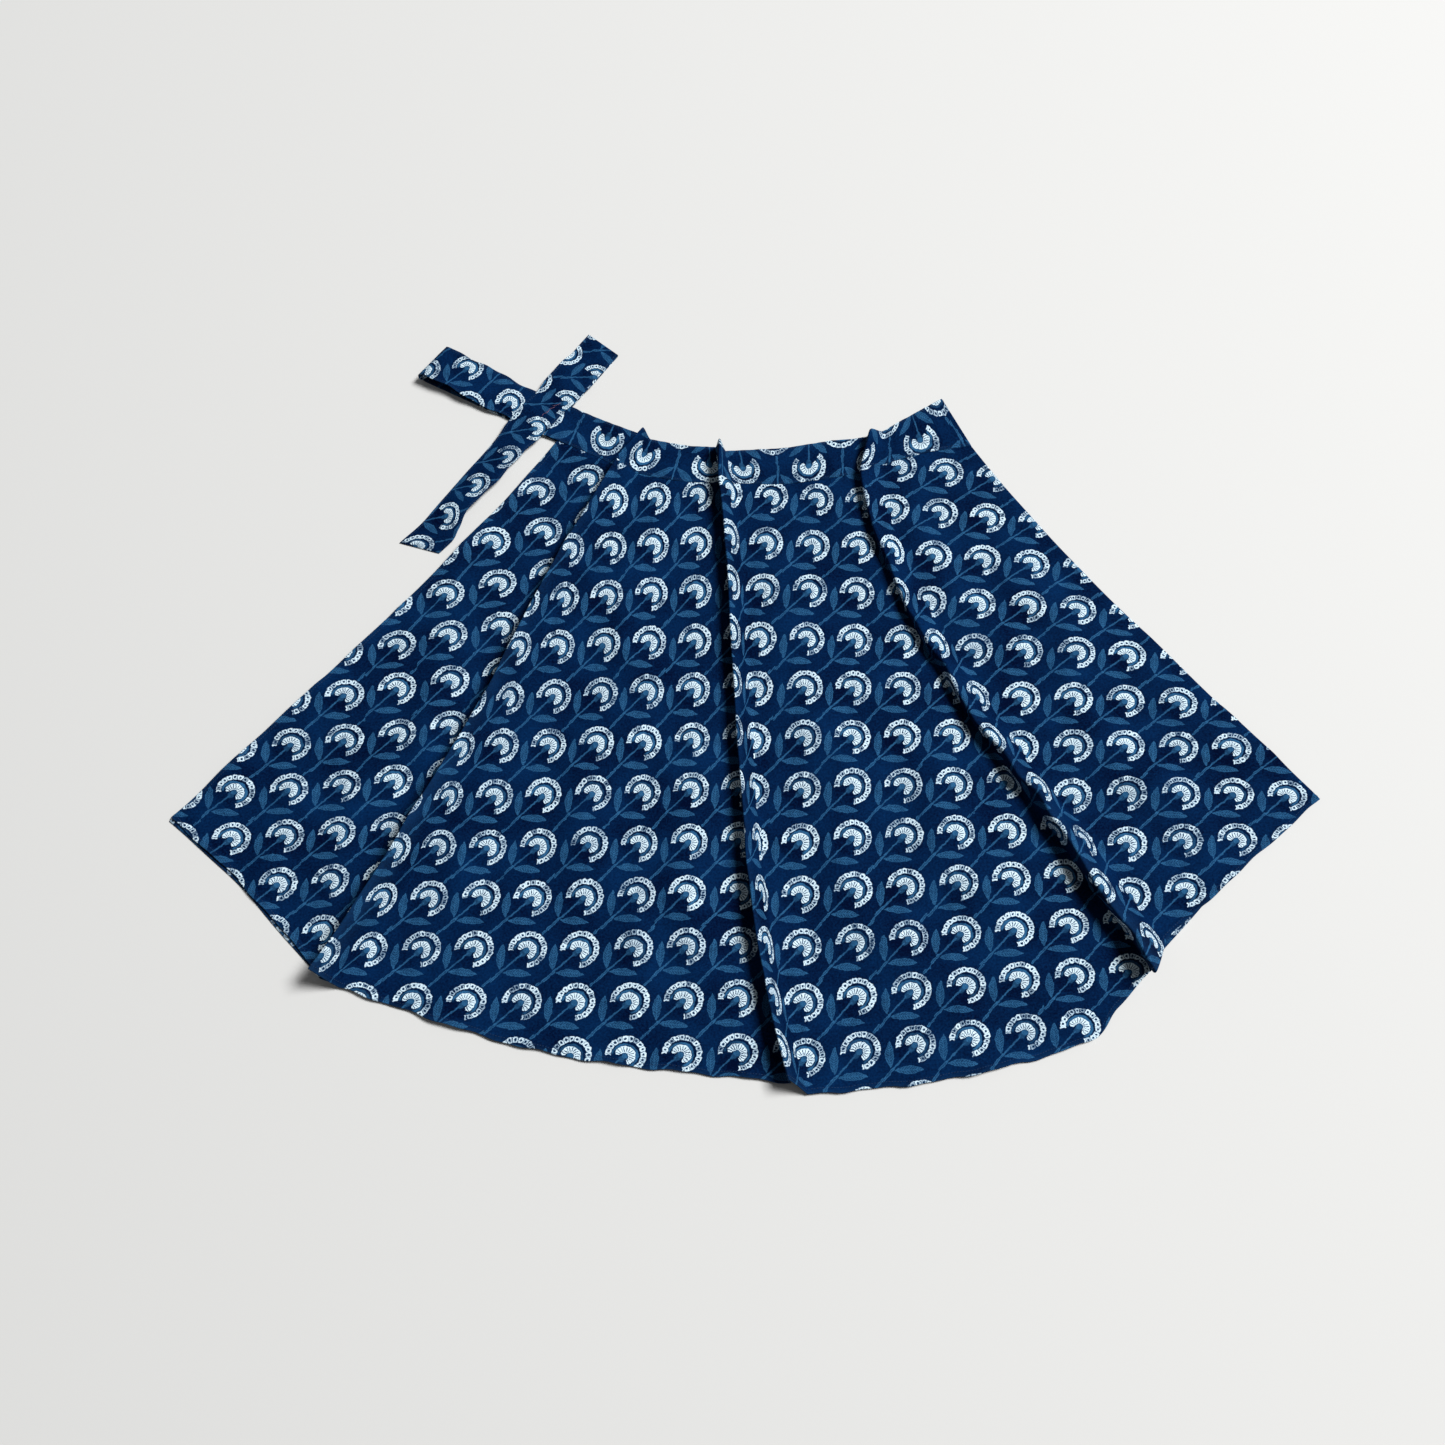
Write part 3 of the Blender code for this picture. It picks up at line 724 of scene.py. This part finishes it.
# Waistband, both halves
# A doubled bias strip of the same cotton, sewn round the top of both halves and edge stitched above and
# below. The three standing folds run on through its front half, and small dents show where they were pressed.
BAND_CLOTH = 1.3
BAND_WIDTH = 45.0
BAND_SEAM_GAP = 0.12
BAND_FRONT_UNDERSIDE = 2.1
BAND_END = ((-208, 351), (-187, 392))
BAND_END_MIDDLE = np.array([-197.5, 371.5])
BAND_END_LIFT = 1.4
BAND_LIFT_FROM = -38.0
BAND_LIFT_TO = -12.0
BAND_TURN = 135.0
BAND_FLOWER = (25, 308)
BAND_BACK_FLOWER = (40.0, -6.0)
OUT = unit((-0.896, 0.444))
ACROSS = unit((0.444, 0.896))
BACK_TIE_START = -51.0
BAND_DENTS = (
    (-66, 318, -74, 330, 5, -0.7), (-62, 300, -58, 334, 6, 0.9), (-136, 330, -120, 352, 7, 0.9),
    (-168, 346, -160, 372, 6, 0.7), (-28, 296, -24, 330, 7, 1.0), (46, 296, 42, 330, 7, 0.9),
    (92, 296, 96, 336, 8, 1.1), (132, 306, 128, 340, 6, 0.8), (214, 326, 208, 368, 8, 1.1),
    (246, 336, 236, 380, 7, 0.9), (262, 345, 250, 392, 6, 0.8),
)
EDGE_STEPS = (0.0, 0.5, 1.3, 2.2, 3.4, 5.0)
EDGE_ROW = 3
STITCH_INSET = 2.2


def smooth(value):
    """0 to 1 with level ends."""
    value = np.clip(value, 0.0, 1.0)
    return value * value * (3.0 - 2.0 * value)


def on_band(name, share):
    """Plan points at shares of the way up the band on a line, 0 at the seam and 1 at the top."""
    low, high = BAND_END if name == "left edge" else (RAYS[name][0], RAYS[name][3])
    return low + np.subtract(high, low) * share[..., None]


def bias_print(run, side, turn, flower):
    """Printed places on a strip cut slanting across the cloth, from one flower's place on the strip."""
    c, s = math.cos(math.radians(turn)), math.sin(math.radians(turn))
    run, side = run - flower[0], side - flower[1]
    return np.stack([c * run - s * side, s * run + c * side], axis=-1)


def strip_place(points, run, side, plan, low=0, high=None):
    """Where a plan point is on a strip: along it and across it."""
    near = np.sum((points[low:high] - (*plan, 0.0)) ** 2, axis=2)
    row, column = np.unravel_index(np.argmin(near), near.shape)
    return run[low + row, column], side[low + row, column]


def run_along(points):
    """How far along the strip each point is, with its folds laid out flat, from the middle row."""
    return np.broadcast_to(run_of(points[len(points) // 2]), points.shape[:2])


def strip_sides(points, shares):
    """How far each point of a strip is across from its middle, and from its nearer edge."""
    side = np.broadcast_to((shares - 0.5) * BAND_WIDTH, points.shape[:2])
    return side, BAND_WIDTH / 2 - np.abs(side)


def dip(from_edge, depth):
    """How much thinner a strip is along its row of stitches."""
    return depth * np.exp(-((from_edge - STITCH_INSET) / 0.8) ** 2)


def edge_wear(from_edge):
    """How much dye is rubbed off a strip near its edge."""
    return 0.7 * np.exp(-from_edge / 1.5)


band_cotton = printed_cotton("printed waistband cotton", bump=0.7)
band_rows = 1 - (1 - BAND_SEAM_GAP / BAND_WIDTH) * edge_shares([BAND_WIDTH], 14, EDGE_STEPS, EDGE_STEPS)[:, 0]
band_folds = [(fold, *(at[1] + (at[0] - at[1]) * band_rows for at in levels))
              for fold, levels in FOLDS.items()]
band_slim = 1.5 + 1.2 * band_rows[:, None, None]
band_points, _ = folded_panel(band_rows, on_band, band_folds, BAND_FRONT_UNDERSIDE, False, band_slim)
band_side, to_edge = strip_sides(band_points, band_rows[:, None])
out_reach = (band_points[..., :2] - BAND_END_MIDDLE) @ OUT
band_lift = BAND_END_LIFT * smooth((out_reach - BAND_LIFT_FROM) / (BAND_LIFT_TO - BAND_LIFT_FROM))
level = 1 - np.clip((band_points[..., 2] - BAND_FRONT_UNDERSIDE) / 6.0, 0, 1)
band_run = run_along(band_points)
pucker = (0.28 * np.sin(band_run / 2.3 + np.sin(band_run / 9.0)) + 0.2) * np.exp(-to_edge / 5.0)
pucker = np.maximum(pucker + creases(band_points, BAND_DENTS), -0.2)
band_points[..., 2] += band_lift + BAND_CLOTH / 2 + level * pucker
band_run = run_along(band_points)
band_flower = strip_place(band_points, band_run, band_side, BAND_FLOWER)
waistband_front, band_top = cloth_shell(
    "waistband_upper", band_points, BAND_CLOTH - dip(to_edge, 0.3) - 0.45 * np.exp(-to_edge / 0.7),
    bias_print(band_run, band_side, BAND_TURN, band_flower), [band_cotton], edge_wear(to_edge))
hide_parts("waistband_front")
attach(waistband_front, "root")
band_back_lines = [BAND_END_MIDDLE + OUT * BACK_TIE_START + ACROSS * BAND_WIDTH * (band_rows[:, None] - 0.5)]
band_back_lines += [on_band(line, band_rows) for line in RAYS if line not in ("left edge", "left middle")]
band_back_flat = across_lines(band_back_lines, 150)
band_back_points = np.dstack([band_back_flat, np.full(band_back_flat.shape[:2], BAND_CLOTH / 2)])
band_back_side, to_edge = strip_sides(band_back_points, band_rows[:, None])
waistband_back, band_back_top = cloth_shell(
    "waistband_lower", band_back_points, BAND_CLOTH - dip(to_edge, 0.35),
    bias_print(run_along(band_back_points), band_back_side, BAND_TURN, BAND_BACK_FLOWER), [band_cotton],
    edge_wear(to_edge))
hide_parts("waistband_back")
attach(waistband_back, "root")

# Ties
# Two straps of doubled bias cotton, one sewn to each end of the waistband, edge stitched and soft with use.
# The front one turns over in an open loop and comes back under itself; the back one is folded square, runs
# up to a flat fold and comes back over everything as a loose tail that rolls a little along its edges.
TIE_CLOTH = 1.1
TIE_WALL = 1.4
TIE_HALF = BAND_WIDTH / 2
SEAM_GAP = 0.3
TIE_LAYER = TIE_WALL + SEAM_GAP
TIE_LOW = TIE_WALL / 2
BAND_LEVEL = 3.0
LOOP_TOP = 17.4
LOOP_REACH = 155.0
LOOP_SKEW = 5.5
LEVEL_RUN = 46.0
RETURN_END = 41.0
DIAGONAL = np.array([-201.0, 395.5])
UP = unit((0.612, 0.791))
UP_ACROSS = unit((0.791, -0.612))
UP_REACH = 94.0
UP_LEVEL = 28.0
UP_DESCENT = 24.0
TAIL = (
    # left x, y   right x, y   middle height   right edge over left edge
    (-175, 466, -139, 438, 2.7, 0), (-189, 448, -153, 420, 4.6, 0), (-204, 429, -168, 401, 6.3, 0),
    (-219, 409, -183, 382, 6.4, 0), (-235, 389, -199, 365, 6.8, 0), (-250, 367, -214, 348, 7.0, 1),
    (-265, 347, -229, 330, 5.6, 3), (-280, 327, -245, 311, 4.6, 5), (-296, 307, -264, 288, 5.4, 7),
    (-311, 287, -284, 264, 6.5, 9), (-323, 271, -296, 246, 6.0, 7), (-334, 256, -303, 233, 4.2, 4),
    (-348, 238, -310, 219, 2.4, 1), (-371, 216, -325, 203, 0.9, 0),
)
STATION_STEPS = 4


def strap_points(stations):
    """Rows of points along a strap, finer than its stations, and its shares across, close at the edges."""
    count = (len(stations) - 1) * STATION_STEPS + 1
    rows = curve_through(stations, np.broadcast_to(np.linspace(0, 1, count)[:, None], (count, 2)))
    across = edge_shares([BAND_WIDTH], 12, EDGE_STEPS, EDGE_STEPS)[:, 0]
    return rows[:, :1] + (rows[:, 1:] - rows[:, :1]) * across[None, :, None], across


def loop_stations():
    """The front tie's stations, from the band's end out to the loop and back."""
    level_height = BAND_LEVEL + BAND_END_LIFT
    radius = (LOOP_TOP - TIE_LOW) / 2

    def skew_at(reach):
        return smooth((reach - LEVEL_RUN) / (LOOP_REACH - LEVEL_RUN))

    places = [(reach, level_height + (LOOP_TOP - level_height) * skew_at(reach), skew_at(reach))
              for reach in SEAM_GAP + (LOOP_REACH - SEAM_GAP) * np.arange(14) / 14]
    places += [(LOOP_REACH + radius * math.sin(turn), TIE_LOW + radius * (1 + math.cos(turn)), 1.0)
               for turn in math.pi * np.arange(11) / 10]
    places += [(reach, TIE_LOW, skew_at(reach))
               for reach in LOOP_REACH + (RETURN_END - LOOP_REACH) * np.arange(1, 10) / 9]
    return [[[*(BAND_END_MIDDLE + OUT * (reach - side * skew * LOOP_SKEW) + ACROSS * side * TIE_HALF), height]
             for side in (1, -1)] for reach, height, skew in places]


def flat_turn(edges, outward):
    """Stations of a strap that turns over a crease, up to one layer higher."""
    radius = TIE_LAYER / 2
    return [[[*(edge + outward * radius * math.cos(turn)), TIE_LOW + radius * (1 + math.sin(turn))]
             for edge in edges] for turn in math.pi * (np.arange(7) / 6 - 0.5)]


def tail_stations():
    """The back tie's stations: run below the band, square fold, run up, flat fold, tail."""
    start = BAND_END_MIDDLE + OUT * (BACK_TIE_START + SEAM_GAP)
    outward = unit(OUT - UP)
    crease = np.array([-outward[1], outward[0]])
    crease = crease if crease @ ACROSS > 0 else -crease
    meeting = DIAGONAL + UP * np.linalg.det([BAND_END_MIDDLE - DIAGONAL, OUT]) / np.linalg.det([UP, OUT])
    end = DIAGONAL + UP * UP_REACH
    start_edges, crease_edges, end_edges = (
        [middle + half * TIE_HALF, middle - half * TIE_HALF]
        for middle, half in ((start, ACROSS), (meeting, crease / abs(OUT @ outward)), (end, -UP_ACROSS)))
    found = [[[*(one + (other - one) * step / 5), TIE_LOW] for one, other in zip(start_edges, crease_edges)]
             for step in range(5)]
    found += flat_turn(crease_edges, outward)
    for step in range(1, 9):
        places = [one + (other - one) * step / 9 for one, other in zip(crease_edges, end_edges)]
        downs = [smooth(((place - DIAGONAL) @ UP - UP_LEVEL) / UP_DESCENT) for place in places]
        found.append([[*place, TIE_LOW + TIE_LAYER * (1 - down)] for place, down in zip(places, downs)])
    found += flat_turn(end_edges, UP)
    for left_x, left_y, right_x, right_y, height, tilt in TAIL:
        found.append([[left_x, left_y, height - tilt / 2], [right_x, right_y, height + tilt / 2]])
    return found


TIE_PRINTS = {
    # name       node        turn of the print, one flower on the plan, first and last row that may carry it
    "tie_upper": ("tie_front", 146.0, (-303, 434), 0, 56),
    "tie_tail": ("tie_back", 275.0, (-287, 283), 90, 200),
}
TIE_PRINT_SIZE = 0.87
TIE_PUCKERS = (
    # x, y to x, y, half width, height
    (-262, 346, -250, 356, 4, 1.0), (-272, 322, -252, 330, 4, 1.3), (-290, 322, -280, 300, 4, 1.2),
    (-300, 300, -272, 292, 5, 1.6), (-306, 286, -290, 262, 4, 1.5), (-318, 272, -296, 262, 4, 1.7),
    (-326, 256, -306, 240, 4, 1.4), (-336, 250, -322, 226, 5, 1.2), (-352, 232, -330, 216, 6, 1.0),
    (-236, 380, -214, 362, 6, 0.8), (-206, 410, -186, 414, 6, 0.7), (-180, 446, -158, 430, 6, 0.8),
    (-300, 436, -280, 400, 7, 0.9), (-262, 420, -250, 384, 7, 0.8), (-330, 450, -322, 410, 6, 0.8),
)
tie_cotton = printed_cotton("printed tie cotton", bump=0.8)
ties = {}
for tie, stations in (("tie_upper", loop_stations()), ("tie_tail", tail_stations())):
    node, turn, flower, first_row, last_row = TIE_PRINTS[tie]
    strap, shares = strap_points(stations)
    side, to_edge = strip_sides(strap, shares)
    run = run_along(strap.transpose(1, 0, 2)).T
    strap_flower = strip_place(strap, run, side, flower, first_row, last_row)
    over = np.clip((strap[..., 2] - 2.0) / 2.0, 0, 1)
    over = over if tie == "tie_upper" else over * (np.arange(len(strap))[:, None] > first_row)
    soft = np.sin(run / 7.0 + 2.0 * np.sin(run / 19.0)) * np.exp(-to_edge / 5.0)
    strap[..., 2] += over * (creases(strap, TIE_PUCKERS) + 0.35 * soft + 0.35)
    wander = 1.1 * np.sin(run / 13.0 + 1.0) + 0.6 * np.sin(run / 5.3)
    shift = over * wander * np.exp(-to_edge / 7.0) * np.sign(side)
    strap[..., :2] += unit(strap[:, -1:, :2] - strap[:, :1, :2]) * shift[..., None]
    piece, tie_top = cloth_shell(tie, strap, TIE_CLOTH - dip(to_edge, 0.25),
                                 bias_print(run, side, turn, strap_flower) / TIE_PRINT_SIZE, [tie_cotton],
                                 edge_wear(to_edge))
    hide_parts(node)
    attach(piece, "root")
    tie_under = 2 * (strap - (*MIDDLE, 0.0)) - tie_top
    tie_lines = [face[2:-2, row] for face in (tie_top, tie_under) for row in (EDGE_ROW, -1 - EDGE_ROW)]
    ties[tie] = (piece, tie_lines, run.max() * MM)

# Stitching
# Running stitches of indigo thread: one row holds each narrow hem, two rows run along the waistband and
# along each tie. Every stitch is a short soft bead of thread, a little uneven in length and lie.
STITCH_PITCH = 3.0
STITCH_LENGTH = 2.2
STITCH_WIDTH = 0.5
LOWEST_STITCH = 0.3
ROWS_PAST_CORNER = 8


def stitch_tree():
    """Lays stitches along a seam line."""
    inputs = [("Seam line", "Geometry"), ("Stitch pitch", "Float", 0.003), ("Stitch length", "Float", 0.0022),
              ("Thread width", "Float", 0.0006), ("Seed", "Int", 7), ("Thread", "Material")]
    tree, given, end = new_group("running stitches", "GeometryNodeTree", inputs, [("Stitches", "Geometry")])
    curve = add_node(tree, "GeometryNodeMeshToCurve", {"Mesh": given["Seam line"]})
    places = add_node(tree, "GeometryNodeCurveToPoints",
                      {"Curve": curve["Curve"], "Length": given["Stitch pitch"]}, mode="LENGTH")
    bead = add_node(tree, "GeometryNodeMeshUVSphere", {"Segments": 6, "Rings": 4, "Radius": 0.5})
    width = given["Thread width"]
    size = add_node(tree, "ShaderNodeCombineXYZ", {"X": width, "Y": width, "Z": given["Stitch length"]})
    shaped = add_node(tree, "GeometryNodeTransform", {"Geometry": bead["Mesh"], "Scale": size["Vector"]})
    uneven = add_node(tree, "FunctionNodeRandomValue",
                      {"Min": (0.85, 0.85, 0.75), "Max": (1.1, 1.1, 1.12), "Seed": given["Seed"]},
                      data_type="FLOAT_VECTOR")
    laid = {"Points": places["Points"], "Instance": shaped["Geometry"], "Rotation": places["Rotation"]}
    laid = add_node(tree, "GeometryNodeInstanceOnPoints", {**laid, "Scale": uneven["Value"]})["Instances"]
    real = add_node(tree, "GeometryNodeRealizeInstances", {"Geometry": laid})["Geometry"]
    dressed = add_node(tree, "GeometryNodeSetMaterial", {"Geometry": real, "Material": given["Thread"]})
    fill(end, {"Stitches": dressed["Geometry"]})
    return tree


def thread_material(name, dark, pale):
    """Twisted cotton thread, lighter along its plies."""
    material, tree, shader = blank_material(name)
    place = add_node(tree, "ShaderNodeTexCoord")["Object"]
    twist = add_node(tree, "ShaderNodeTexWave", {"Scale": 900.0, "Distortion": 4.0, "Vector": place})["Fac"]
    bump = add_node(tree, "ShaderNodeBump", {"Distance": 0.0001, "Height": twist})["Normal"]
    colour = blend(Value(twist), (*dark, 1.0), (*pale, 1.0))
    fill(shader, {"Base Color": colour, "Normal": bump, "Roughness": 0.75})
    return material


indigo_thread = thread_material("indigo sewing thread", (0.004, 0.018, 0.060), (0.014, 0.050, 0.125))
running_stitches = stitch_tree()


def sew(name, lines, seed=7):
    """A piece of stitches along lines of points on the cloth's face."""
    points, edges = [], []
    for line in lines:
        edges += [(len(points) + i, len(points) + i + 1) for i in range(len(line) - 1)]
        points += (np.maximum(line, (-np.inf, -np.inf, LOWEST_STITCH)) * MM).tolist()
    seam = bpy.data.meshes.new(name + "_line")
    seam.from_pydata(points, edges, [])
    guide = placed(name + "_line", seam)
    modifier = guide.modifiers.new("stitches", "NODES")
    modifier.node_group = running_stitches
    sizes = {"Stitch pitch": STITCH_PITCH * MM, "Stitch length": STITCH_LENGTH * MM,
             "Thread width": STITCH_WIDTH * MM, "Seed": seed, "Thread": indigo_thread}
    for item in running_stitches.interface.items_tree:
        if item.name in sizes:
            modifier[item.identifier] = sizes[item.name]
    mesh = bpy.data.meshes.new_from_object(guide.evaluated_get(bpy.context.evaluated_depsgraph_get()))
    guide.modifiers.remove(modifier)
    bpy.data.objects.remove(guide, do_unlink=True)
    mesh.name = name
    mesh.shade_smooth()
    piece = placed(name, mesh)
    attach(piece, "root")
    return piece


def hem_lines(top):
    """The hem's row of stitches, and the left edge's down to the corner."""
    return [top[-1 - HEM_ROW], top[:-ROWS_PAST_CORNER, HEM_ROW]]


def band_lines(top):
    """The two rows of stitches along a band."""
    return [top[EDGE_ROW], top[-1 - EDGE_ROW]]


front_stitches = sew("hem_stitches_front", hem_lines(front_top))
back_stitches = sew("hem_stitches_back", hem_lines(back_top), seed=11)
band_stitches = sew("waistband_stitches_upper", band_lines(band_top), seed=13)
band_back_stitches = sew("waistband_stitches_lower", band_lines(band_back_top), seed=17)
for number, (tie, (_, tie_lines, _)) in enumerate(ties.items()):
    sew(f"{tie}_stitches", tie_lines, seed=19 + number)

# Loose threads
# Three pink ends of thread lie on the upper strap where the two ties cross, left over from the weaving.
# Each is a thin round thread, bent a little and thinner at its two ends.
LOOSE_ENDS = (
    # points of each thread: x, y, z in mm on the plan
    ((-190, 391, 8.2), (-193, 389, 8.6), (-196, 388, 8.3), (-200, 387, 8.1)),
    ((-197, 386, 8.1), (-200, 384, 8.8), (-203, 383, 8.5), (-205, 380, 8.1), (-208, 380, 8.0)),
    ((-204, 381, 8.1), (-206, 378, 8.7), (-210, 377, 8.3), (-212, 374, 8.0)),
)
THREAD_SIDES = 6
THREAD_STEPS = 15
THREAD_WIDTH = 0.36
THREAD_TIP = 0.55

turns = 2 * math.pi * np.arange(THREAD_SIDES)[:, None] / THREAD_SIDES
reach = np.full((THREAD_STEPS, 1, 1), THREAD_WIDTH / 2)
reach[[0, -1]] *= THREAD_TIP
loose_points, loose_faces = [], []
for end in LOOSE_ENDS:
    line = curve_through(np.array(end, float)[:, None, :], np.linspace(0, 1, THREAD_STEPS)[:, None])[:, 0]
    along = unit(np.gradient(line, axis=0))
    side = unit(np.cross(along, (0.0, 0.0, 1.0)))
    up = np.cross(side, along)
    number = len(loose_points) + np.arange(THREAD_STEPS * THREAD_SIDES).reshape(THREAD_STEPS, THREAD_SIDES)
    beside = np.roll(number, -1, axis=1)
    round_line = line[:, None] + reach * (side[:, None] * np.cos(turns) + up[:, None] * np.sin(turns))
    loose_points += ((round_line - (*MIDDLE, 0.0)) * MM).reshape(-1, 3).tolist()
    sides = np.stack([number[:-1], number[1:], beside[1:], beside[:-1]], axis=-1)
    loose_faces += [*sides.reshape(-1, 4).tolist(), number[0].tolist(), number[-1, ::-1].tolist()]
pink_thread = thread_material("pink loose thread", (0.14, 0.06, 0.11), (0.34, 0.18, 0.26))
loose_mesh = new_mesh("loose_threads", loose_points, loose_faces, [pink_thread])
loose_mesh.shade_smooth()
loose_threads = placed("loose_threads", loose_mesh)
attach(loose_threads, "root")

# Floor and light
# A plain pale floor, one large soft lamp from the upper right, and an even weak light all round.
FLOOR_HALF = 4.0
FLOOR_LEVEL = -0.0006
floor_corners = [(-1, -1), (1, -1), (1, 1), (-1, 1)]
floor_corners = [(x * FLOOR_HALF, y * FLOOR_HALF, FLOOR_LEVEL) for x, y in floor_corners]
floor_material, _, floor_shader = blank_material("pale floor")
fill(floor_shader, {"Base Color": (0.62, 0.62, 0.61, 1.0), "Roughness": 0.9})
placed("floor", new_mesh("floor", floor_corners, [(0, 1, 2, 3)], [floor_material]))

key_data = bpy.data.lights.new("large soft lamp", "AREA")
key_data.size = 3.9
key_data.energy = 2200.0
key = placed("large soft lamp", key_data)
key.location = (6.3, 2.4, 10.2)
key.rotation_euler = key.location.to_track_quat("Z", "Y").to_euler()

world = bpy.data.worlds.new("even light")
world.use_nodes = True
fill(world.node_tree.nodes["Background"], {"Color": (1.0, 1.0, 1.0, 1.0), "Strength": 0.12})
scene.world = world
